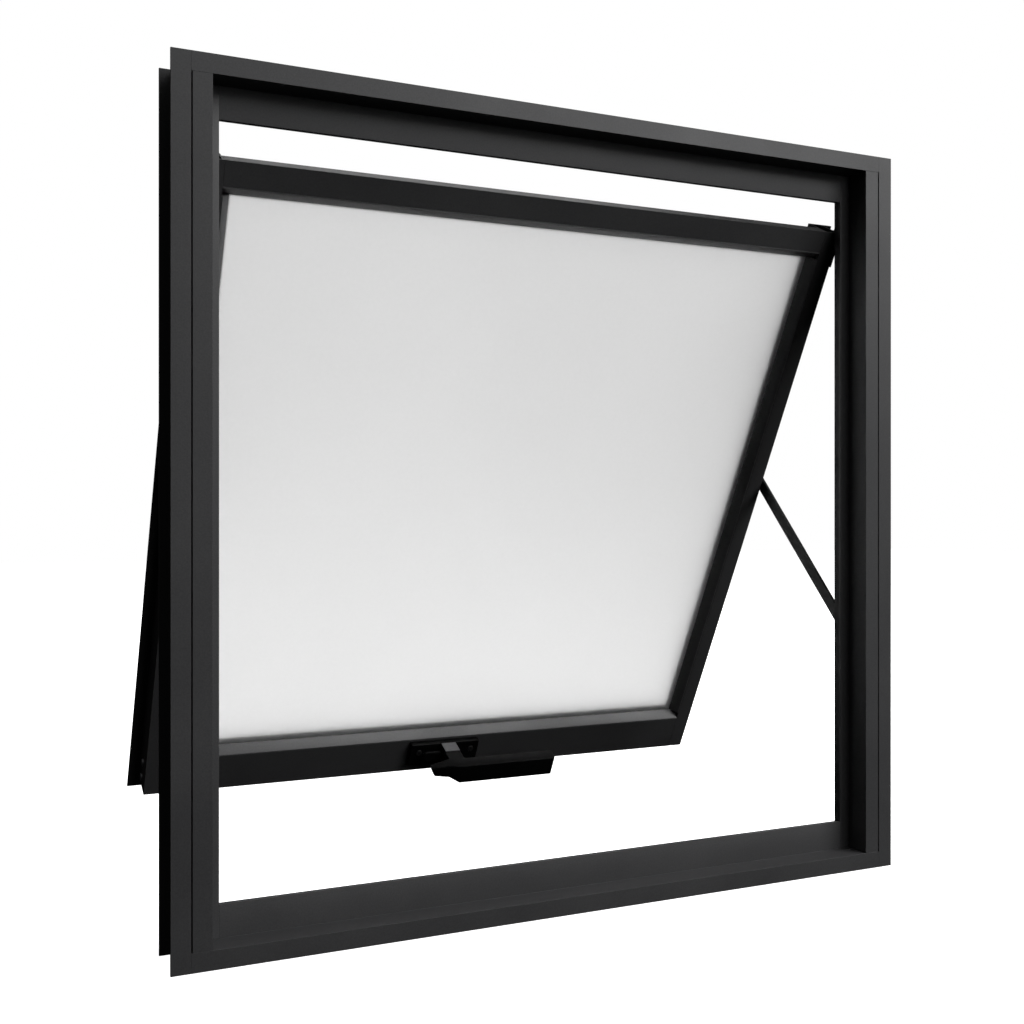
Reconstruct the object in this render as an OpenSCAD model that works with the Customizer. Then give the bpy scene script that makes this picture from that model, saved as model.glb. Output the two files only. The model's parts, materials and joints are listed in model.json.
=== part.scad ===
// Top-hung projecting window: an outer frame, a glazed sash that slides down
// and swings out on shoes in the jamb channels, two stay arms and a cam handle.
// Millimetres. X runs across the window, -Y faces the room, +Y faces outdoors,
// +Z is up. The origin is the middle of the frame's underside. The model is
// drawn with the sash open.

/* [Frame] */
// Overall width of the frame
frame_w = 600; // [450:10:900]
// Overall height of the frame
frame_h = 600; // [500:10:900]
// Depth of the frame, front flange to rear fin
frame_d = 44; // [42:1:60]
// Width of the front flange
flange_w = 13.2; // [11:0.1:16]
// Width of the snap-in liner that fronts each jamb
liner_w = 13.1; // [12:0.1:16]
// Shadow groove between the flange and the liner
groove_w = 0.9; // [0.5:0.1:1.5]
// Setback of the stop behind the front face
stop_set = 21.9; // [18:0.1:23]
// Distance from the frame's outer edge to the stop's inner edge
stop_in = 36; // [34:0.5:42]
// Wall of the frame extrusions
frame_wall = 1.8; // [1.4:0.1:2.4]
// How far the middle anchor fins stop short of each end
fin_short = 10; // [5:1:20]
// Height of the rear fin inside the channel, from the outer edge
channel_lip = 22; // [20:0.5:23]

/* [Sash] */
// Gap between the frame's outer edge and the closed sash, all round
sash_gap = 28; // [27:0.5:30]
// Opening angle of the sash as drawn
tilt = 27.4; // [15:0.2:30]
// How far the sash slides down between closed and the angle drawn
sash_drop = 30.3; // [20:0.1:36]
// Depth of the sash
sash_d = 27; // [25:0.5:32]
// Wall of the sash extrusions
sash_wall = 1.6; // [1.2:0.1:2]
// Face width of the stiles
stile_w = 14.5; // [12:0.5:24]
// Face height of the top rail
top_rail_h = 18.3; // [16:0.1:30]
// Face height of the bottom rail
bottom_rail_h = 34.5; // [32:0.5:44]
// Overhang of the outer lip on the sides and bottom
lip_w = 9.5; // [4:0.5:9.5]
// Width of the sloping glazing beads
bead_w = 6.8; // [5:0.1:10]
// Setback of the glass behind the sash's face
glass_set = 8.7; // [6:0.1:11]
// Thickness of the glass
glass_t = 4; // [3:1:6]

/* [Stays and shoes] */
// Distance between the pivots of a stay arm
stay_len = 174; // [150:1:190]
// Width of a stay arm
stay_w = 10; // [8:0.5:14]
// Thickness of a stay arm
stay_t = 2.5; // [2:0.1:2.5]
// Distance of the stay's sash pivot below the sash's top edge
stay_down = 239; // [200:1:260]
// Distance of the stay's sash pivot behind the sash's face
stay_back = 13; // [8:0.5:14]
// Radius of the stay pins
stay_pin_r = 2.5; // [2:0.1:3]
// Radius of the top pivot pins
top_pin_r = 3; // [2.5:0.1:3.5]
// Radial running clearance of every pin
pin_fit = 0.05; // [0.02:0.01:0.1]
// Height of a top shoe
top_shoe_h = 24; // [18:1:26]
// Height of a stay shoe
stay_shoe_h = 22; // [16:1:30]
// Sliding clearance of a shoe in its channel
shoe_fit = 0.4; // [0.3:0.05:0.6]
// Extra play of a stay shoe towards the room
stay_play_in = 3.6; // [2.6:0.1:4.4]
// Extra play of a stay shoe towards outdoors
stay_play_out = 1.8; // [1.6:0.1:3]

/* [Handle] */
// Width of the handle's base plate
base_w = 68; // [60:1:90]
// Reach of the base plate above the pivot
base_up = 8.8; // [7:0.1:9.2]
// Reach of the base plate below the pivot
base_down = 14.5; // [10:0.5:15]
// Thickness of the base plate
base_t = 6; // [5:0.5:8]
// Length of the lever beyond the pivot
lever_reach = 98; // [70:1:130]
// Length of the lever behind the pivot
lever_tail = 26.5; // [22:0.5:40]
// Height of the lever
lever_h = 19; // [16:0.5:22]
// Thickness of the lever
lever_t = 12.5; // [8:0.5:14]
// Distance from the rail's face to the lever's back
lever_stand = 30.5; // [26:0.5:40]
// Reach of the locking cam from the pivot
cam_reach = 24; // [20:0.5:26]

/* [Hidden] */

$fn = 48;
eps = 0.01;
black = [0.12, 0.12, 0.125];
dark = [0.07, 0.07, 0.075];
steel = [0.62, 0.63, 0.65];
pale_glass = [0.86, 0.87, 0.87, 0.8];

// Frame: places measured from the front face and from an outer edge
front_y = -frame_d / 2;
stop_rear = stop_set + 2.2;
rear_fin = frame_d - 1.6;
web_in = flange_w;
web_out = flange_w - frame_wall;
fin_y = 16;
fin_t = 1.4;
rib_out = 29.8;
rib_t = 1;
rib_h = 1.3;
gasket_foot = 2.6;
rib_in = rib_out + rib_t + gasket_foot;
liner_at = flange_w + groove_w;
liner_end = liner_at + liner_w;

// Screws that hold the corners of the frame
port_at = 6.6;
port_wall = 1.75;
port_y = [9, 32];
screw_r = 1.95;
port_r = screw_r + pin_fit;
screw_len = 22;
screw_head_r = 3.4;
screw_head_h = 1.8;
web_hole_r = 2.15;

// Holes through the jambs for fixing the frame to the wall
fix_r = 2.75;
fix_low = 80;
fix_gap = 320;
fix_y = 33;

// Sash: s runs down from its top edge, n runs outdoors from its face
sash_w = frame_w - 2 * sash_gap;
sash_h = frame_h - 2 * sash_gap;
pivot_n = 3;
pivot_set = 35;
pivot_y = front_y + pivot_set;
pivot_z = frame_h - sash_gap - sash_drop;
lip_t = 2;
top_step_n = 13;
top_step_s = 3.5;
rear_leg_w = 8.5;
rear_leg_t = 1.7;
glass_play = 2;
seal_t = 1.7;
rear_leg_n = glass_set + glass_t + seal_t;
half_w = sash_w / 2;

// Sash screws: [distance down the sash, distance behind its face]
sash_screws = [[9.2, 19], [sash_h - 24.5, 13.5], [sash_h - 9, 13.5]];

// Stay arms: x places are measured outwards from the sash's side
arm_gap = 1.4;
arm_x = half_w + arm_gap;
channel_in = frame_w / 2 - channel_lip;
shoe_x = channel_in + 0.6;
shoe_w = frame_w / 2 - web_in - shoe_fit - shoe_x;
stud_y = pivot_y + stay_down * sin(tilt) + (stay_back - pivot_n) * cos(tilt);
stud_z = pivot_z - stay_down * cos(tilt) + (stay_back - pivot_n) * sin(tilt);
stay_angle = asin((stud_y - pivot_y) / stay_len);
stay_shoe_z = stud_z - stay_len * cos(stay_angle);

// Pivot brackets
bracket_t = 2;
bracket_n = 11;
bracket_down = 30;
ear_r = 6;

// Handle: its own origin is where the pivot meets the rail's face
hub_down = sash_h - 24.5;
hub_r = 4.4;
cam_n = 10.6;
cam_t = 3.4;
neck_w = 15;
neck_x = 1.5;
spindle_r = 3;
base_screw_x = 26;
base_screw_r = 1.6;

// ---- placing ----

// Drawn on the right at +1, and mirrored to the left at -1
module side(dir) {
  if (dir > 0) children();
  else mirror([1, 0, 0]) children();
}

// Sash parts are drawn closed: face at y = 0, top edge at z = 0
module on_sash() {
  translate([0, pivot_y, pivot_z]) rotate([tilt, 0, 0]) translate([0, -pivot_n, 0]) children();
}

// A cylinder along +X
module rod(r, len) {
  rotate([0, 90, 0]) cylinder(r = r, h = len);
}

// A flat section [across, back] becomes an upright bar of the given height
module upright(height) {
  linear_extrude(height = height) children();
}

// A flat section [down, back] becomes a level bar across the window
module level(len) {
  translate([-len / 2, 0, 0]) rotate([0, 90, 0]) linear_extrude(height = len) children();
}

module box_at(a, b) {
  translate([a[0], a[1]]) square([b[0] - a[0], b[1] - a[1]]);
}

// ---- frame sections: [distance from the outer edge, distance from the front face] ----

module outer_section() {
  box_at([0, 0], [flange_w, frame_wall]);
  box_at([web_out, 0], [web_in, frame_d]);
  box_at([0, rear_fin], [web_in, frame_d]);
}

module anchor_fin_section() {
  box_at([3.5, fin_y], [web_out + eps, fin_y + fin_t]);
  box_at([3.5, fin_y - 2], [4.7, fin_y + fin_t + 2]);
}

module stop_section() {
  box_at([web_in - eps, stop_set], [stop_in, stop_rear]);
}

// The two ribs that hold the seal's foot
module rib_section() {
  box_at([rib_out, stop_rear - eps], [rib_out + rib_t, stop_rear + rib_h]);
  box_at([rib_in, stop_rear - eps], [rib_in + rib_t, stop_rear + rib_h]);
}

// A toed leg under the middle of the sill, and over the middle of the head
module foot_section() {
  box_at([0, frame_d / 2 - 0.8], [web_out + eps, frame_d / 2 + 0.8]);
  box_at([0, frame_d / 2 - 2.5], [1.4, frame_d / 2 + 2.5]);
}

module channel_section() {
  box_at([web_in - eps, rear_fin], [channel_lip, frame_d]);
}

module port_section(bore) {
  for (y = port_y) {
    difference() {
      union() {
        translate([port_at, y]) circle(r = port_r + port_wall);
        box_at([port_at + port_r, y - 1], [web_out + eps, y + 1]);
      }
      if (bore) translate([port_at, y]) circle(r = port_r);
    }
  }
}

// ---- frame parts ----

module jamb(dir) {
  side(dir) color(black) difference() {
    translate([frame_w / 2, front_y, 0]) mirror([1, 0, 0]) {
      upright(frame_h) outer_section();
      translate([0, 0, fin_short]) upright(frame_h - 2 * fin_short) anchor_fin_section();
      translate([0, 0, web_in]) upright(frame_h - 2 * web_in) {
        stop_section();
        channel_section();
      }
      translate([0, 0, rib_in]) upright(frame_h - 2 * rib_in) rib_section();
    }
    for (z = [port_at, frame_h - port_at], y = port_y)
      translate([frame_w / 2 - web_in - 1, front_y + y, z]) rod(web_hole_r, frame_wall + 2);
    for (z = [fix_low, fix_low + fix_gap])
      translate([frame_w / 2 - web_in - 1, front_y + fix_y, z]) rod(fix_r, frame_wall + 2);
  }
}

// The head is the sill turned over, so both come from one module
module cross_member() {
  color(black) translate([0, front_y, 0]) mirror([0, 0, 1]) {
    level(frame_w - 2 * web_in) {
      outer_section();
      port_section(true);
      foot_section();
    }
    level(frame_w - 2 * fin_short - 2 * web_in) anchor_fin_section();
    level(frame_w - 2 * stop_in) {
      stop_section();
      rib_section();
    }
  }
}

module head() {
  translate([0, 0, frame_h]) mirror([0, 0, 1]) cross_member();
}

module sill() {
  cross_member();
}

module jamb_liner(dir) {
  wall = 1.6;
  tail = stop_set - 0.1;
  side(dir) color(black) translate([frame_w / 2, front_y, web_in]) mirror([1, 0, 0])
    upright(frame_h - 2 * web_in) {
      box_at([liner_at, 0], [liner_end, wall]);
      box_at([liner_end - wall, 0], [liner_end, tail]);
      box_at([liner_at, 0], [liner_at + wall, 7]);
      box_at([liner_end - 5, tail - wall], [liner_end, tail]);
    }
}

// Bulb seal round the rear of the stop, facing the closed sash
module frame_gasket() {
  foot_at = rib_out + rib_t + 0.1;
  foot_w = gasket_foot - 0.2;
  seal_face = pivot_set - pivot_n - 0.3;
  bulb_t = seal_face - stop_rear - rib_h;
  color(dark) {
    gasket_ring(foot_at, foot_w, stop_rear, rib_h + 0.2);
    difference() {
      gasket_ring(rib_out, foot_w + 2 * rib_t + 0.2, stop_rear + rib_h + 0.05, bulb_t - 0.05);
      gasket_ring(rib_out + 1, foot_w + 0.2, stop_rear + rib_h + 1.2, bulb_t - 2.2);
    }
  }
}

module gasket_ring(at, wide, back, deep) {
  translate([0, front_y + back, frame_h / 2]) rotate([-90, 0, 0]) linear_extrude(height = deep)
    difference() {
      square([frame_w - 2 * at, frame_h - 2 * at], center = true);
      square([frame_w - 2 * at - 2 * wide, frame_h - 2 * at - 2 * wide], center = true);
    }
}

module frame_corner_screws() {
  color(steel) for (dir = [1, -1], z = [port_at, frame_h - port_at], y = port_y)
    side(dir) translate([frame_w / 2 - web_out, front_y + y, z]) {
      rod(screw_head_r, screw_head_h);
      translate([-screw_len, 0, 0]) rod(screw_r, screw_len + eps);
    }
}

// ---- shoes that carry the sash's top ----

module top_shoe(dir) {
  deep_in = front_y + stop_rear + shoe_fit;
  deep_out = front_y + rear_fin - shoe_fit;
  side(dir) color(dark) difference() {
    translate([shoe_x, deep_in, pivot_z - top_shoe_h / 2])
      cube([shoe_w, deep_out - deep_in, top_shoe_h]);
    translate([shoe_x - 1, pivot_y, pivot_z]) rod(top_pin_r + pin_fit, shoe_w + 2);
    for (z = [-1, 1])
      translate([shoe_x + shoe_w - 1, deep_in - 1, pivot_z + z * top_shoe_h / 3 - 1])
        cube([2, deep_out - deep_in + 2, 2]);
  }
}

// ---- sash ----

// A closed box section with one wall all round
module tube_section(a, b) {
  difference() {
    box_at(a, b);
    box_at([a[0] + sash_wall, a[1] + sash_wall], [b[0] - sash_wall, b[1] - sash_wall]);
  }
}

// Right-hand stile before its holes: the lip runs on past its foot
module stile_bar() {
  translate([half_w, 0, -sash_h]) mirror([1, 0, 0]) {
    upright(sash_h) {
      tube_section([0, 0], [stile_w, sash_d]);
      box_at([-lip_w, sash_d - lip_t], [eps, sash_d]);
    }
    translate([0, 0, bottom_rail_h]) upright(sash_h - top_rail_h - bottom_rail_h)
      box_at([stile_w - eps, rear_leg_n], [stile_w + rear_leg_w, rear_leg_n + rear_leg_t]);
    translate([0, 0, -lip_w]) upright(lip_w + eps)
      box_at([-lip_w, sash_d - lip_t], [stile_w, sash_d]);
  }
}

module stile(dir) {
  side(dir) on_sash() color(black) difference() {
    stile_bar();
    for (p = sash_screws)
      translate([half_w - stile_w - 1, p[1], -p[0]]) rod(web_hole_r, stile_w + 2);
    translate([half_w - sash_wall - 1, stay_back, -stay_down])
      rod(stay_pin_r + 0.02, sash_wall + 2);
  }
}

// Leg behind a rail's edge, fitted between the legs of the two stiles
module rail_rear_leg(from, to) {
  level(sash_w - 2 * stile_w - 2 * rear_leg_w)
    box_at([from, rear_leg_n], [to, rear_leg_n + rear_leg_t]);
}

module rail_port(p) {
  translate([p[0], p[1]]) difference() {
    circle(r = port_r + 1.2);
    circle(r = port_r);
  }
}

module top_rail() {
  on_sash() color(black) {
    level(sash_w - 2 * stile_w) {
      difference() {
        box_at([0, 0], [top_rail_h, sash_d]);
        box_at([-1, top_step_n], [top_step_s, sash_d + 1]);
        box_at([sash_wall, sash_wall], [top_rail_h - sash_wall, top_step_n - sash_wall]);
        box_at([top_step_s + sash_wall, top_step_n - sash_wall - eps],
               [top_rail_h - sash_wall, sash_d - sash_wall]);
      }
      rail_port(sash_screws[0]);
      box_at([sash_screws[0][0] + port_r, sash_screws[0][1] - 0.8],
             [top_rail_h - sash_wall + eps, sash_screws[0][1] + 0.8]);
    }
    rail_rear_leg(top_rail_h - eps, top_rail_h + rear_leg_w);
  }
}

module bottom_rail() {
  on_sash() color(black) difference() {
    union() {
      level(sash_w - 2 * stile_w) {
        tube_section([sash_h - bottom_rail_h, 0], [sash_h, sash_d]);
        for (p = [sash_screws[1], sash_screws[2]]) {
          rail_port(p);
          box_at([p[0] - 0.8, p[1] + port_r], [p[0] + 0.8, sash_d - sash_wall + eps]);
        }
        box_at([sash_h - eps, sash_d - lip_t], [sash_h + lip_w, sash_d]);
      }
      rail_rear_leg(sash_h - bottom_rail_h - rear_leg_w, sash_h - bottom_rail_h + eps);
    }
    translate([0, -1, -hub_down]) rotate([-90, 0, 0]) cylinder(r = 5.5, h = sash_wall + 2);
    for (x = [-base_screw_x, base_screw_x])
      translate([x, -1, -hub_down]) rotate([-90, 0, 0])
        cylinder(r = base_screw_r + 0.1, h = sash_wall + 2);
    translate([-12, port_r + 8.4, -sash_h + 2]) cube([24, 12, bottom_rail_h - 4]);
  }
}

// The glass reaches past the beads into the rebate, with play at its edges
glass_side = half_w - stile_w - glass_play;
glass_top = top_rail_h + glass_play;
glass_foot = sash_h - bottom_rail_h - glass_play;

module glass_pane() {
  on_sash() color(pale_glass) translate([-glass_side, glass_set, -glass_foot])
    cube([2 * glass_side, glass_t, glass_foot - glass_top]);
}

module glazing_gasket() {
  inner = 6;
  on_sash() color(dark) difference() {
    translate([-glass_side, glass_set + glass_t, -glass_foot])
      cube([2 * glass_side, seal_t, glass_foot - glass_top]);
    translate([inner - glass_side, glass_set + glass_t - 1, inner - glass_foot])
      cube([2 * (glass_side - inner), seal_t + 2, glass_foot - glass_top - 2 * inner]);
  }
}

// Sloping bead section, [away from the frame member, back]
module bead_section() {
  polygon([[0, 0.3], [0.9, 0], [bead_w - 0.6, glass_set - 1.4], [bead_w, glass_set - 0.6],
           [bead_w, glass_set], [0, glass_set]]);
}

module top_bead() {
  on_sash() color(black) level(sash_w - 2 * stile_w)
    translate([top_rail_h, 0]) bead_section();
}

module bottom_bead() {
  on_sash() color(black) level(sash_w - 2 * stile_w)
    translate([sash_h - bottom_rail_h, 0]) mirror([1, 0]) bead_section();
}

module side_bead(dir) {
  top = top_rail_h + bead_w;
  foot = sash_h - bottom_rail_h - bead_w;
  side(dir) on_sash() color(black) translate([half_w - stile_w, 0, -foot]) mirror([1, 0, 0])
    upright(foot - top) bead_section();
}

module sash_corner_screws() {
  on_sash() color(steel) for (dir = [1, -1], p = sash_screws)
    side(dir) translate([half_w, p[1], -p[0]]) {
      rod(screw_head_r, 1.2);
      translate([-stile_w - 12, 0, 0]) rod(screw_r, stile_w + 12 + eps);
    }
}

// ---- top pivots ----

module pivot_bracket(dir) {
  side(dir) on_sash() color(dark) difference() {
    union() {
      translate([half_w, 0, -bracket_down]) cube([bracket_t, bracket_n, bracket_down]);
      translate([half_w, pivot_n, 0]) rod(ear_r, bracket_t);
    }
    translate([half_w - 1, pivot_n, 0]) rod(top_pin_r + 0.02, bracket_t + 2);
    translate([half_w - 3, pivot_n, 0]) rod(top_pin_r + 1.4, 3);
    for (s = [14, 24])
      translate([half_w - 1, bracket_n / 2, -s]) rod(1.55, bracket_t + 2);
  }
}

module top_pin(dir) {
  side(dir) translate([half_w, pivot_y, pivot_z]) color(steel) {
    rod(top_pin_r, shoe_x + shoe_w - half_w - 0.3);
    translate([bracket_t + 0.1, 0, 0]) rod(top_pin_r + 1.6, shoe_x - half_w - bracket_t - 0.4);
  }
}

module bracket_screws() {
  on_sash() color(steel) for (dir = [1, -1], s = [14, 24])
    side(dir) translate([half_w, bracket_n / 2, -s]) {
      rod(1.5, bracket_t + eps);
      translate([bracket_t, 0, 0]) rod(2.8, 1.2);
    }
}

// ---- stay arms ----

module stay_stud(dir) {
  side(dir) translate([half_w, stud_y, stud_z]) color(steel) {
    translate([-sash_wall - 1.2, 0, 0]) rod(stay_pin_r + 1.5, 1.18);
    translate([-sash_wall - 1, 0, 0]) rod(stay_pin_r, arm_gap + stay_t + sash_wall + 1.2);
    rod(stay_pin_r + 2, arm_gap - 0.1);
    translate([arm_gap + stay_t + 0.1, 0, 0]) rod(stay_pin_r + 1.7, 1.2);
  }
}

module stay_arm(dir) {
  side(dir) translate([arm_x, stud_y, stud_z]) rotate([-stay_angle, 0, 0]) color(dark)
    difference() {
      union() {
        rod(stay_w / 2, stay_t);
        translate([0, 0, -stay_len]) rod(stay_w / 2, stay_t);
        translate([0, -stay_w / 2, -stay_len]) cube([stay_t, stay_w, stay_len]);
      }
      translate([-1, 0, 0]) rod(stay_pin_r + pin_fit, stay_t + 2);
      translate([-1, 0, -stay_len]) rod(stay_pin_r + pin_fit, stay_t + 2);
    }
}

module stay_shoe(dir) {
  deep_in = front_y + stop_rear + stay_play_in;
  deep_out = front_y + rear_fin - stay_play_out;
  side(dir) color(dark) difference() {
    translate([shoe_x, deep_in, stay_shoe_z - stay_shoe_h / 2])
      cube([shoe_w, deep_out - deep_in, stay_shoe_h]);
    translate([shoe_x - 1, pivot_y, stay_shoe_z]) rod(stay_pin_r + 0.02, shoe_w + 2);
  }
}

module shoe_rivet(dir) {
  side(dir) translate([arm_x, pivot_y, stay_shoe_z]) color(steel) {
    translate([-1, 0, 0]) rod(stay_pin_r + 1.7, 0.9);
    translate([-0.11, 0, 0]) rod(stay_pin_r, shoe_x + shoe_w - arm_x - 0.2);
    translate([stay_t + 0.1, 0, 0]) rod(stay_pin_r + 1.3, shoe_x - arm_x - stay_t - 0.2);
  }
}

// ---- handle ----

// The handle's parts are drawn level: x along the lever, z up the sash,
// and -y out from the rail's face
module on_rail() {
  on_sash() translate([0, 0, -hub_down]) children();
}

module handle_base() {
  on_rail() color(dark) difference() {
    union() {
      translate([-base_w / 2, -base_t, -base_down]) cube([base_w, base_t, base_up + base_down]);
      translate([0, eps - base_t, 0]) rotate([90, 0, 0])
        cylinder(r = hub_r, h = cam_n - base_t - 0.4);
    }
    translate([0, 1, 0]) rotate([90, 0, 0]) cylinder(r = spindle_r + pin_fit, h = cam_n + 2);
    for (x = [-base_screw_x, base_screw_x]) translate([x, 1, 0]) rotate([90, 0, 0]) {
      cylinder(r = base_screw_r + 0.1, h = base_t + 2);
      translate([0, 0, base_t - 0.1]) cylinder(r = 3.3, h = 3);
    }
  }
}

module handle_base_screws() {
  on_rail() color(dark) for (x = [-base_screw_x, base_screw_x])
    translate([x, 4, 0]) rotate([90, 0, 0]) {
      cylinder(r = base_screw_r, h = base_t + 3);
      translate([0, 0, base_t + 2.95]) cylinder(r = 3, h = 1.2);
    }
}

// Locking cam: points back along the lever's tail, and down when locked
module handle_cam() {
  on_rail() color(dark) translate([0, -cam_n, 0]) rotate([90, 0, 0]) difference() {
    union() {
      cylinder(r = hub_r, h = cam_t);
      translate([hub_r - cam_reach, -hub_r, 0]) cube([cam_reach - hub_r, 2 * hub_r, cam_t]);
      translate([hub_r - cam_reach, 0, 0]) cylinder(r = hub_r, h = cam_t);
    }
    translate([0, 0, -1]) cylinder(r = spindle_r + 0.02, h = cam_t + 2);
  }
}

// Lever: a bar held off the rail by a neck, with a hood over the cam's boss
module handle_lever() {
  neck_n = cam_n + cam_t + 0.1;
  hood_n = base_t + 0.3;
  front = lever_stand + lever_t;
  neck_a = neck_x - neck_w / 2;
  neck_b = neck_x + neck_w / 2;
  top = lever_h / 2;
  on_rail() color(dark) difference() {
    union() {
      translate([0, 0, -top]) linear_extrude(height = lever_h)
        polygon([[neck_a, -neck_n], [neck_b, -neck_n], [neck_b, -lever_stand],
                 [lever_reach, -lever_stand], [lever_reach + 1, -lever_stand - 1],
                 [lever_reach, 1.5 - front], [lever_reach - 1.5, -front],
                 [neck_a + 9, -front], [neck_a - 4, 2 - front], [-lever_tail, 6 - front],
                 [1 - lever_tail, -lever_stand], [neck_a, -lever_stand]]);
      translate([neck_a, -neck_n - eps, hub_r + 0.3])
        cube([neck_w, neck_n - hood_n + eps, top - hub_r - 0.3]);
    }
    translate([0, -lever_stand + 1, 0]) rotate([90, 0, 0]) linear_extrude(height = lever_t + 2)
      polygon([[neck_a - 2, top + 1], [neck_a - 2, top], [1 - lever_tail, top - 5],
               [-lever_tail - 2, top - 5], [-lever_tail - 2, top + 1]]);
    translate([0, 1, 0]) rotate([90, 0, 0]) linear_extrude(height = front + 2)
      polygon([[-lever_tail - 1, top + 1], [-lever_tail, top - 1], [5.5 - lever_tail, -3],
               [neck_a - 2, -3], [neck_a + 10, -top - 0.5], [neck_a + 10, -top - 2],
               [-lever_tail - 2, -top - 2], [-lever_tail - 2, top + 1]]);
    translate([0, eps - neck_n, 0]) rotate([90, 0, 0])
      cylinder(r = spindle_r + 0.02, h = lever_stand - neck_n);
  }
}

module handle_spindle() {
  inside = 6;
  on_rail() color(steel) difference() {
    translate([0, inside, 0]) rotate([90, 0, 0])
      cylinder(r = spindle_r, h = inside + lever_stand - 1);
    translate([0, sash_wall + 3.2, 0]) rotate([90, 0, 0]) difference() {
      cylinder(r = spindle_r + 1, h = 1.2);
      translate([0, 0, -1]) cylinder(r = spindle_r - 0.7, h = 4);
    }
  }
}

module spindle_clip() {
  on_rail() color(steel) translate([0, sash_wall + 3.1, 0]) rotate([90, 0, 0]) difference() {
    cylinder(r = 6.2, h = 1);
    translate([0, 0, -1]) cylinder(r = spindle_r - 0.68, h = 3);
  }
}

head();
sill();
jamb(-1);  // left_jamb
jamb(1);  // right_jamb
jamb_liner(-1);  // left_jamb_liner
jamb_liner(1);  // right_jamb_liner
frame_gasket();
frame_corner_screws();
top_shoe(-1);  // left_top_shoe
top_shoe(1);  // right_top_shoe
stile(-1);  // left_stile
stile(1);  // right_stile
top_rail();
bottom_rail();
glass_pane();
top_bead();
bottom_bead();
side_bead(-1);  // left_bead
side_bead(1);  // right_bead
glazing_gasket();
sash_corner_screws();
pivot_bracket(-1);  // left_pivot_bracket
pivot_bracket(1);  // right_pivot_bracket
top_pin(-1);  // left_top_pin
top_pin(1);  // right_top_pin
bracket_screws();
stay_stud(-1);  // left_stay_stud
stay_stud(1);  // right_stay_stud
stay_arm(-1);  // left_stay_arm
stay_arm(1);  // right_stay_arm
stay_shoe(-1);  // left_stay_shoe
stay_shoe(1);  // right_stay_shoe
shoe_rivet(-1);  // left_shoe_rivet
shoe_rivet(1);  // right_shoe_rivet
handle_base();
handle_base_screws();
handle_lever();
handle_cam();
handle_spindle();
spindle_clip();
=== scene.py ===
import json
from math import pi, radians

import bpy
from mathutils import Euler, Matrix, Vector


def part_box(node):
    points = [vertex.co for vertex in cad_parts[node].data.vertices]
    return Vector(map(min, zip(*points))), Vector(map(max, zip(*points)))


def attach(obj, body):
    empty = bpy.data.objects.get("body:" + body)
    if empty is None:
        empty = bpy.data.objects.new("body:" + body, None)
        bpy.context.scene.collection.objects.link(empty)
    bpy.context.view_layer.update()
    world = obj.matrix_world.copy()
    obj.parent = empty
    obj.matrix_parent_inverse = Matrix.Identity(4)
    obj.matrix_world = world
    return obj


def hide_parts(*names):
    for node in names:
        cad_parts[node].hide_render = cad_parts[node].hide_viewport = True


# Top-hung projecting window in black powder-coated aluminium with a frosted pane.
# Metres. X runs across the window, -Y is the room, +Z is up.

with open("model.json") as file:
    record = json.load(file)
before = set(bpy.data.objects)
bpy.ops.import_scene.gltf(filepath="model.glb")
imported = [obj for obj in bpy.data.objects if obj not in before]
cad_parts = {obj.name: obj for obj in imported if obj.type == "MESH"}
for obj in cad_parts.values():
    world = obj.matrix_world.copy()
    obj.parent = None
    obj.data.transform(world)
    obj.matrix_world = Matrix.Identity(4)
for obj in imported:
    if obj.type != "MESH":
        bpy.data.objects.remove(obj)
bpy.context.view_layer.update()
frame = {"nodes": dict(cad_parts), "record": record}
nodes = frame["nodes"]
behaviour = frame["record"]["behaviour"]
bodyOf = {node: body for body, members in behaviour["bodies"].items() for node in members}
slotOf = {row["node"]: row["material_slot"] for row in frame["record"]["subparts"]}
jointOf = {row["name"]: row for row in behaviour["joints"]}
mm = 0.001
print("frame loaded,", len(nodes), "nodes")


def newMaterial(name):
    material = bpy.data.materials.new(name)
    material.use_nodes = True
    tree = material.node_tree
    tree.nodes.clear()
    output = tree.nodes.new("ShaderNodeOutputMaterial")
    shader = tree.nodes.new("ShaderNodeBsdfPrincipled")
    tree.links.new(shader.outputs["BSDF"], output.inputs["Surface"])
    coords = tree.nodes.new("ShaderNodeTexCoord")
    return material, tree, shader, coords.outputs["Object"]


def noise(tree, coords, scale, detail=3.0, rough=0.55, stretch=None):
    if stretch:  # squeezes the pattern along an axis, for drawn or brushed grain
        mapping = tree.nodes.new("ShaderNodeMapping")
        mapping.inputs["Scale"].default_value = stretch
        tree.links.new(coords, mapping.inputs["Vector"])
        coords = mapping.outputs["Vector"]
    texture = tree.nodes.new("ShaderNodeTexNoise")
    texture.inputs["Scale"].default_value = scale
    texture.inputs["Detail"].default_value = detail
    texture.inputs["Roughness"].default_value = rough
    tree.links.new(coords, texture.inputs["Vector"])
    return texture.outputs["Fac"]


def ramp(tree, value, low, high, spots=(0.3, 0.7)):
    node = tree.nodes.new("ShaderNodeValToRGB")
    node.color_ramp.elements[0].position = spots[0]
    node.color_ramp.elements[1].position = spots[1]
    node.color_ramp.elements[0].color = (*low, 1)
    node.color_ramp.elements[1].color = (*high, 1)
    tree.links.new(value, node.inputs["Fac"])
    return node.outputs["Color"]


def spread(tree, value, low, high, spots=(0.3, 0.7)):
    node = tree.nodes.new("ShaderNodeMapRange")
    node.inputs["From Min"].default_value = spots[0]
    node.inputs["From Max"].default_value = spots[1]
    node.inputs["To Min"].default_value = low
    node.inputs["To Max"].default_value = high
    tree.links.new(value, node.inputs["Value"])
    return node.outputs["Result"]


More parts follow.
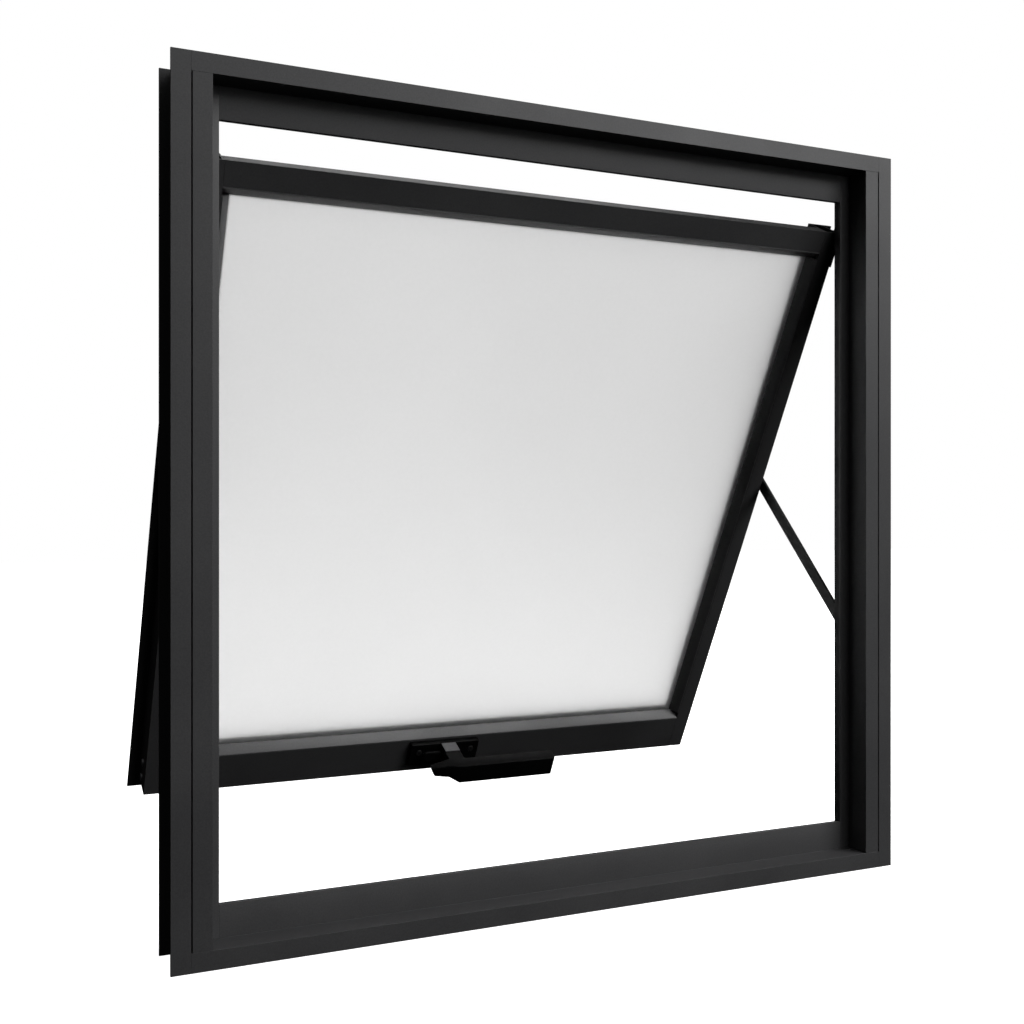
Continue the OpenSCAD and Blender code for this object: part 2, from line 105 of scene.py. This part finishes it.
def multiply(tree, first, second):
    mix = tree.nodes.new("ShaderNodeMix")
    mix.data_type = "RGBA"
    mix.blend_type = "MULTIPLY"
    mix.inputs["Factor"].default_value = 1.0
    tree.links.new(first, mix.inputs[6])  # the two colour inputs of a colour mix
    tree.links.new(second, mix.inputs[7])
    return mix.outputs[2]


def bump(tree, shader, height, depth, strength=1.0, under=None):
    node = tree.nodes.new("ShaderNodeBump")
    node.inputs["Strength"].default_value = strength
    node.inputs["Distance"].default_value = depth
    tree.links.new(height, node.inputs["Height"])
    if under:
        tree.links.new(under, node.inputs["Normal"])
    tree.links.new(node.outputs["Normal"], shader.inputs["Normal"])
    return node.outputs["Normal"]


coats = {  # powder coats: darkest and lightest grey, roughness, depth of the orange peel, shine
    "frameCoat": dict(dark=0.037, light=0.043, rough=0.5, peel=0.00003, gloss=0.3),
    # the sash coat is a shaded copy of the frame coat, darker by painted shade for the downward-tilted sash
    # faces
    "sashShadedCoat": dict(dark=0.029, light=0.035, rough=0.5, peel=0.00003, gloss=0.28),
    # the bead coat is a lit copy of the same powder coat, lighter by painted light
    "beadLitCoat": dict(dark=0.05, light=0.058, rough=0.42, peel=0.00003, gloss=0.45),
    "hardwareCoat": dict(dark=0.006, light=0.009, rough=0.45, peel=0.00002, gloss=0.3),
    # the handle coat is far darker than the frame coat: painted shade, so the handle's front faces read black
    "handleShadedCoat": dict(dark=0.0014, light=0.0024, rough=0.34, peel=0.00002, gloss=0.07),
}
coatGrain = dict(cloud=14, speck=900, peel=420, speckLow=0.86, speckHigh=1.1)  # shared by all coats


def coatMaterial(name):
    look = coats[name]
    material, tree, shader, coords = newMaterial(name)
    cloudy = noise(tree, coords, coatGrain["cloud"], 4)
    speck = noise(tree, coords, coatGrain["speck"], 2)
    peel = noise(tree, coords, coatGrain["peel"], 2, 0.4)
    low, high, rough = look["dark"], look["light"], look["rough"]
    colour = ramp(tree, cloudy, (low, low, low * 1.04), (high, high, high * 1.03))
    speckled = ramp(tree, speck, (coatGrain["speckLow"],) * 3, (coatGrain["speckHigh"],) * 3)
    tree.links.new(multiply(tree, colour, speckled), shader.inputs["Base Color"])
    tree.links.new(spread(tree, cloudy, rough - 0.05, rough + 0.06), shader.inputs["Roughness"])
    shader.inputs["Specular IOR Level"].default_value = look["gloss"]
    coarse = bump(tree, shader, peel, look["peel"], 0.5)
    bump(tree, shader, speck, look["peel"] * 0.4, 0.35, coarse)
    return material


plainFinishes = {  # grain and its detail and stretch, fine skin, colours, roughness, bump, metal
    "sealRubber": dict(grain=60, detail=5, stretch=None, skin=700,
                       low=(0.008, 0.008, 0.008), high=(0.02, 0.02, 0.021),
                       rough=(0.6, 0.8), depth=0.00004, strength=0.4, metal=0.0),
    "shoeNylon": dict(grain=500, detail=3, stretch=None, skin=None,
                      low=(0.012, 0.012, 0.012), high=(0.022, 0.022, 0.023),
                      rough=(0.42, 0.58), depth=0.00003, strength=0.4, metal=0.0),
    "screwSteel": dict(grain=120, detail=4, stretch=(14, 1, 1), skin=None,
                       low=(0.42, 0.43, 0.45), high=(0.6, 0.61, 0.63),
                       rough=(0.28, 0.44), depth=0.00002, strength=0.3, metal=1.0),
    # lighter metal for the thin sheet on the lever's neck, which paints a highlight there
    "neckHighlightMetal": dict(grain=260, detail=4, stretch=(1, 8, 1), skin=None,
                      low=(0.15, 0.15, 0.155), high=(0.2, 0.2, 0.205),
                      rough=(0.36, 0.5), depth=0.00001, strength=0.3, metal=1.0),
}


def plainMaterial(name):
    look = plainFinishes[name]
    material, tree, shader, coords = newMaterial(name)
    grain = noise(tree, coords, look["grain"], look["detail"], stretch=look["stretch"])
    skin = noise(tree, coords, look["skin"], 2) if look["skin"] else grain
    tree.links.new(ramp(tree, grain, look["low"], look["high"]), shader.inputs["Base Color"])
    tree.links.new(spread(tree, grain, *look["rough"]), shader.inputs["Roughness"])
    shader.inputs["Metallic"].default_value = look["metal"]
    bump(tree, shader, skin, look["depth"], look["strength"])
    return material


frost = dict(low=(0.655,) * 3, high=(0.675,) * 3, rough=(0.44, 0.56), through=0.85, bend=1.45,
             cloud=5, pebble=330, mottle=(0.97,) * 3, depth=0.0001, strength=0.3)


def glassMaterial():
    material, tree, shader, coords = newMaterial("frostedGlass")
    cloudy = noise(tree, coords, frost["cloud"], 2)
    pebble = noise(tree, coords, frost["pebble"], 3)
    tint = ramp(tree, cloudy, frost["low"], frost["high"])
    mottled = ramp(tree, pebble, frost["mottle"], (1, 1, 1))
    tree.links.new(multiply(tree, tint, mottled), shader.inputs["Base Color"])
    tree.links.new(spread(tree, pebble, *frost["rough"]), shader.inputs["Roughness"])
    shader.inputs["Transmission Weight"].default_value = frost["through"]
    shader.inputs["IOR"].default_value = frost["bend"]
    bump(tree, shader, pebble, frost["depth"], frost["strength"])
    return material


materials = {
    "frame_black": coatMaterial("frameCoat"),
    "sash_black": coatMaterial("sashShadedCoat"),
    "hardware_black": coatMaterial("hardwareCoat"),
    "handle_black": coatMaterial("handleShadedCoat"),
    "shoe_nylon": plainMaterial("shoeNylon"),
    "seal_rubber": plainMaterial("sealRubber"),
    "screw_steel": plainMaterial("screwSteel"),
    "frosted_glass": glassMaterial(),
}
beadLitPaint = coatMaterial("beadLitCoat")  # the beads get a lighter, lit copy of the coat: painted light


def dress(piece, node):
    piece.data.materials.clear()
    piece.data.materials.append(beadLitPaint if node.endswith("bead") else materials[slotOf[node]])


for nodeName, piece in nodes.items():
    dress(piece, nodeName)
print("materials made")


def selectOnly(piece):
    bpy.ops.object.select_all(action="DESELECT")
    piece.select_set(True)
    bpy.context.view_layer.objects.active = piece


def applyAll(piece):
    selectOnly(piece)
    for modifier in list(piece.modifiers):
        bpy.ops.object.modifier_apply(modifier=modifier.name)


meshCare = dict(merge=0.000004, flat=0.6, crease=30, smooth=20)  # a distance in metres, then angles in degrees


def bevel(piece, width, segments=2):
    modifier = piece.modifiers.new("edgeBreak", "BEVEL")
    modifier.width = width
    modifier.segments = segments
    modifier.limit_method = "ANGLE"
    modifier.angle_limit = radians(meshCare["crease"])
    modifier.use_clamp_overlap = False
    applyAll(piece)


def settle(piece):
    # moves the place into the mesh and shades the rounded edges smooth
    selectOnly(piece)
    bpy.ops.object.transform_apply(location=True, rotation=True, scale=True)
    bpy.ops.object.shade_smooth_by_angle(angle=radians(meshCare["smooth"]))


def finishPiece(piece, node):
    # the piece stands for its node and rides on the node's body
    settle(piece)
    dress(piece, node)
    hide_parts(node)
    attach(piece, bodyOf[node])


edgeBreaks = {  # how far each group's corners are eased, in mm
    0.15: ["head", "sill", "left_jamb", "right_jamb"],
    0.2: ["left_jamb_liner", "right_jamb_liner", "left_stile", "right_stile", "top_rail",
          "bottom_rail", "top_bead", "bottom_bead", "left_bead", "right_bead", "glass_pane"],
    0.25: ["left_stay_arm", "right_stay_arm", "left_pivot_bracket", "right_pivot_bracket"],
    0.3: ["glazing_gasket"],
    0.5: ["handle_cam", "frame_gasket"],
    0.6: ["left_top_shoe", "right_top_shoe", "left_stay_shoe", "right_stay_shoe"],
}


def easedCopy(nodeName, width, steps=2):
    piece = bpy.data.objects.new(nodeName + "_eased", nodes[nodeName].data.copy())
    bpy.context.scene.collection.objects.link(piece)
    selectOnly(piece)
    bpy.ops.object.mode_set(mode="EDIT")
    bpy.ops.mesh.select_all(action="SELECT")
    bpy.ops.mesh.remove_doubles(threshold=meshCare["merge"])
    bpy.ops.mesh.dissolve_limited(angle_limit=radians(meshCare["flat"]))
    bpy.ops.object.mode_set(mode="OBJECT")
    bevel(piece, width * mm, steps)
    finishPiece(piece, nodeName)


for easing, names in edgeBreaks.items():
    for nodeName in names:
        easedCopy(nodeName, easing)
print("extrusions eased")


castings = {  # how far each casting's corners are rounded in mm, and in how many steps
    "handle_base": dict(round=0.7, steps=3),
    "handle_lever": dict(round=0.9, steps=4),
}

for nodeName, look in castings.items():
    easedCopy(nodeName, look["round"], look["steps"])
print("handle rounded")


# small pieces on the sash are laid out from the lever's pivot
hub = Vector(jointOf["handle_turn"]["pos_m"])
outward = Vector(jointOf["handle_turn"]["axis"]).normalized()  # out from the rail, into the room
upSash = Vector((1, 0, 0)).cross(-outward)
sashTilt = upSash.angle(Vector((0, 0, 1)))


def onRail(across, up, out):
    # a point in mm from the lever's pivot, along the rail, up the sash and out to the room
    return hub + Vector((across * mm, 0, 0)) + upSash * (up * mm) + outward * (out * mm)


# a thin sheet of lighter metal on the lever's neck: a painted highlight standing in for the bright facet
neckHighlightPlate = dict(across=1.5, up=9.6, out=13.6, wide=14.4, deep=12.2, thick=0.6, corner=0.2)  # mm


def makeNeckHighlightPlate():
    look = neckHighlightPlate
    bpy.ops.object.select_all(action="DESELECT")
    bpy.ops.mesh.primitive_cube_add(size=1, location=onRail(look["across"], look["up"], look["out"]),
                                    rotation=(sashTilt, 0, 0),
                                    scale=(look["wide"] * mm, look["deep"] * mm, look["thick"] * mm))
    plate = bpy.context.object
    plate.name = "neckHighlightPlate"
    selectOnly(plate)
    bpy.ops.object.transform_apply(location=False, rotation=False, scale=True)
    bevel(plate, look["corner"] * mm)
    settle(plate)
    plate.data.materials.append(plainMaterial("neckHighlightMetal"))
    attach(plate, "handle")


# fits the painted highlight sheet on the lever's neck
makeNeckHighlightPlate()
print("neck plate fitted")


screws = {  # head radius, head height, shank radius and shank length, in mm
    "handle_base_screws": dict(head=3.0, tall=1.2, shank=1.6, long=9.0),
    "bracket_screws": dict(head=2.8, tall=1.2, shank=1.5, long=2.0),
    "sash_corner_screws": dict(head=3.4, tall=1.2, shank=1.95, long=26.0),
    "frame_corner_screws": dict(head=3.4, tall=1.8, shank=1.95, long=22.0),
}
recess = dict(reach=1.1, width=0.24, deep=1.1, dome=0.45)  # shares of the head's radius and height
facing = {
    "left": Euler((0, -pi / 2, 0)),
    "right": Euler((0, pi / 2, 0)),
    "room": Euler((pi / 2 + sashTilt, 0, 0)),
}
sashHigh = 519.5  # mm from the lever's pivot up to the sash's top edge
seats = dict(base=5.95, bracket=274, stile=272, jamb=288.4)  # mm out to where the heads bear


def bothSides(reach):
    return (-reach, "left"), (reach, "right")


screwPlaces = {  # where each head seats, and which way it faces
    "handle_base_screws": [(onRail(x, 0, seats["base"]), "room") for x in (-26, 26)],
    "bracket_screws": [(onRail(x, sashHigh - down, -5.5), side)
                       for down in (14, 24) for x, side in bothSides(seats["bracket"])],
    "sash_corner_screws": [(onRail(x, sashHigh - down, -back), side)
                           for down, back in ((9.2, 19), (519.5, 13.5), (535, 13.5))
                           for x, side in bothSides(seats["stile"])],
    "frame_corner_screws": [(Vector((x, y, z)) * mm, side)
                            for y in (-13, 10) for z in (6.6, 593.4)
                            for x, side in bothSides(seats["jamb"])],
}


def pickFaces(piece, upwards):
    # selects the end faces that look up, or those that look down
    bpy.ops.object.mode_set(mode="EDIT")
    bpy.ops.mesh.select_all(action="DESELECT")
    bpy.ops.object.mode_set(mode="OBJECT")
    for face in piece.data.polygons:
        face.select = face.normal.z > 0.9 if upwards else face.normal.z < -0.9
    bpy.ops.object.mode_set(mode="EDIT")


def modelScrew(name):
    look = screws[name]
    head, tall = look["head"] * mm, look["tall"] * mm
    bpy.ops.object.select_all(action="DESELECT")
    bpy.ops.mesh.primitive_cylinder_add(vertices=40, radius=head, depth=tall, location=(0, 0, tall / 2))
    screw = bpy.context.object
    bpy.ops.object.transform_apply(location=True, rotation=True, scale=True)
    pickFaces(screw, upwards=False)  # the underside, where the shank starts
    bpy.ops.mesh.inset(thickness=head - look["shank"] * mm, depth=0)
    bpy.ops.mesh.extrude_region_move(TRANSFORM_OT_translate={"value": (0, 0, -look["long"] * mm)})
    pickFaces(screw, upwards=True)
    bpy.ops.mesh.bevel(offset=tall * recess["dome"], segments=4, affect="EDGES")
    bpy.ops.object.mode_set(mode="OBJECT")
    for turn in (0, pi / 2):  # the cross recess
        bpy.ops.object.select_all(action="DESELECT")
        size = (head * recess["reach"], head * recess["width"], tall * recess["deep"])
        bpy.ops.mesh.primitive_cube_add(size=1, location=(0, 0, tall), rotation=(0, 0, turn), scale=size)
        cutter = bpy.context.object
        cross = screw.modifiers.new("cross", "BOOLEAN")
        cross.object = cutter
        cross.operation = "DIFFERENCE"
        cross.solver = "EXACT"
        applyAll(screw)
        bpy.data.objects.remove(cutter)
    return screw


def placeScrews(name):
    pattern = modelScrew(name)
    copies = []
    for place, side in screwPlaces[name]:
        screw = pattern.copy()
        screw.data = pattern.data.copy()
        bpy.context.scene.collection.objects.link(screw)
        screw.location = place
        screw.rotation_euler = facing[side]
        copies.append(screw)
    bpy.data.objects.remove(pattern)
    bpy.ops.object.select_all(action="DESELECT")
    for screw in copies:
        screw.select_set(True)
    bpy.context.view_layer.objects.active = copies[0]
    bpy.ops.object.join()
    copies[0].name = name + "_recessed"
    finishPiece(copies[0], name)


for screwName in screws:
    placeScrews(screwName)
print("screws driven")


room = dict(size=14, drop=0.0005, low=(0.9,) * 3, high=(0.93,) * 3, glow=1.1)


def stageRoom():
    bpy.ops.object.select_all(action="DESELECT")
    bpy.ops.mesh.primitive_plane_add(size=room["size"], location=(0, 0, -room["drop"]))
    floor = bpy.context.object
    floor.name = "paleFloor"
    material, tree, shader, coords = newMaterial("paleFloorPaint")
    cloudy = noise(tree, coords, 0.7, 2)
    tree.links.new(ramp(tree, cloudy, room["low"], room["high"]), shader.inputs["Base Color"])
    shader.inputs["Roughness"].default_value = 0.9
    shader.inputs["Specular IOR Level"].default_value = 0.1
    shader.inputs["Emission Color"].default_value = (1, 1, 1, 1)
    shader.inputs["Emission Strength"].default_value = room["glow"]
    floor.data.materials.append(material)
    floor.visible_glossy = False  # it is seen, but it lights nothing
    floor.visible_diffuse = False


softLights = {  # place, aim, size, power, and whether it shows in shiny surfaces
    "keyBox": dict(at=(1.6, -1.9, 1.8), aim=(0, 0, 0.3), size=1.6, power=70, shine=True),
    "fillBox": dict(at=(0.7, -2.6, 0.9), aim=(0.1, 0, 0.2), size=1.4, power=15, shine=False),
    "topBox": dict(at=(0.9, -0.3, 3.0), aim=(0.1, 0.1, 0.3), size=1.8, power=34, shine=False),
    "rearBox": dict(at=(0.9, 3.0, 1.7), aim=(0, 0.2, 0.3), size=2.2, power=55, shine=True),
}


def softLight(name):
    look = softLights[name]
    lamp = bpy.data.lights.new(name, "AREA")
    lamp.shape = "SQUARE"
    lamp.size = look["size"]
    lamp.energy = look["power"]
    holder = bpy.data.objects.new(name, lamp)
    holder.location = look["at"]
    aim = Vector(look["aim"]) - Vector(look["at"])
    holder.rotation_euler = aim.to_track_quat("-Z", "Y").to_euler()
    holder.visible_glossy = look["shine"]
    holder.visible_transmission = False
    bpy.context.scene.collection.objects.link(holder)


sky = dict(foot=0.005, top=0.12, heights=(-0.1, 0.9))  # how strongly it lights, from low to high


def paleWorld():
    # white where it is looked at, dim as a light
    world = bpy.data.worlds.new("paleWorld")
    world.use_nodes = True
    tree = world.node_tree
    tree.nodes.clear()
    output = tree.nodes.new("ShaderNodeOutputWorld")
    seen = tree.nodes.new("ShaderNodeBackground")
    seen.inputs["Color"].default_value = (1, 1, 1, 1)
    seen.inputs["Strength"].default_value = 1.0
    cast = tree.nodes.new("ShaderNodeBackground")
    cast.inputs["Color"].default_value = (1, 1, 1, 1)
    heading = tree.nodes.new("ShaderNodeTexCoord")
    parts = tree.nodes.new("ShaderNodeSeparateXYZ")
    tree.links.new(heading.outputs["Generated"], parts.inputs["Vector"])
    rising = spread(tree, parts.outputs["Z"], sky["foot"], sky["top"], sky["heights"])
    tree.links.new(rising, cast.inputs["Strength"])
    path = tree.nodes.new("ShaderNodeLightPath")
    either = tree.nodes.new("ShaderNodeMath")
    either.operation = "MAXIMUM"
    tree.links.new(path.outputs["Is Camera Ray"], either.inputs[0])
    tree.links.new(path.outputs["Is Transmission Ray"], either.inputs[1])
    mix = tree.nodes.new("ShaderNodeMixShader")
    tree.links.new(either.outputs[0], mix.inputs["Fac"])
    tree.links.new(cast.outputs[0], mix.inputs[1])
    tree.links.new(seen.outputs[0], mix.inputs[2])
    tree.links.new(mix.outputs[0], output.inputs["Surface"])
    bpy.context.scene.world = world


view = dict(left=0.1487, back=0.8263, turn=-25.4, lens=44.19)  # metres from the left jamb, degrees, mm


def addCamera():
    low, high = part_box("left_jamb")
    camera = bpy.data.objects.new("camera", bpy.data.cameras.new("camera"))
    camera.location = (low.x - view["left"], low.y - view["back"], (low.z + high.z) / 2)
    camera.rotation_euler = (pi / 2, 0, radians(view["turn"]))
    camera.data.lens = view["lens"]
    camera.data.sensor_width = 36
    camera.data.clip_start = 0.01
    bpy.context.scene.collection.objects.link(camera)
    bpy.context.scene.camera = camera


stageRoom()
for lightName in softLights:
    softLight(lightName)
paleWorld()
addCamera()
bpy.context.scene.view_settings.view_transform = "Standard"
print("stage set")
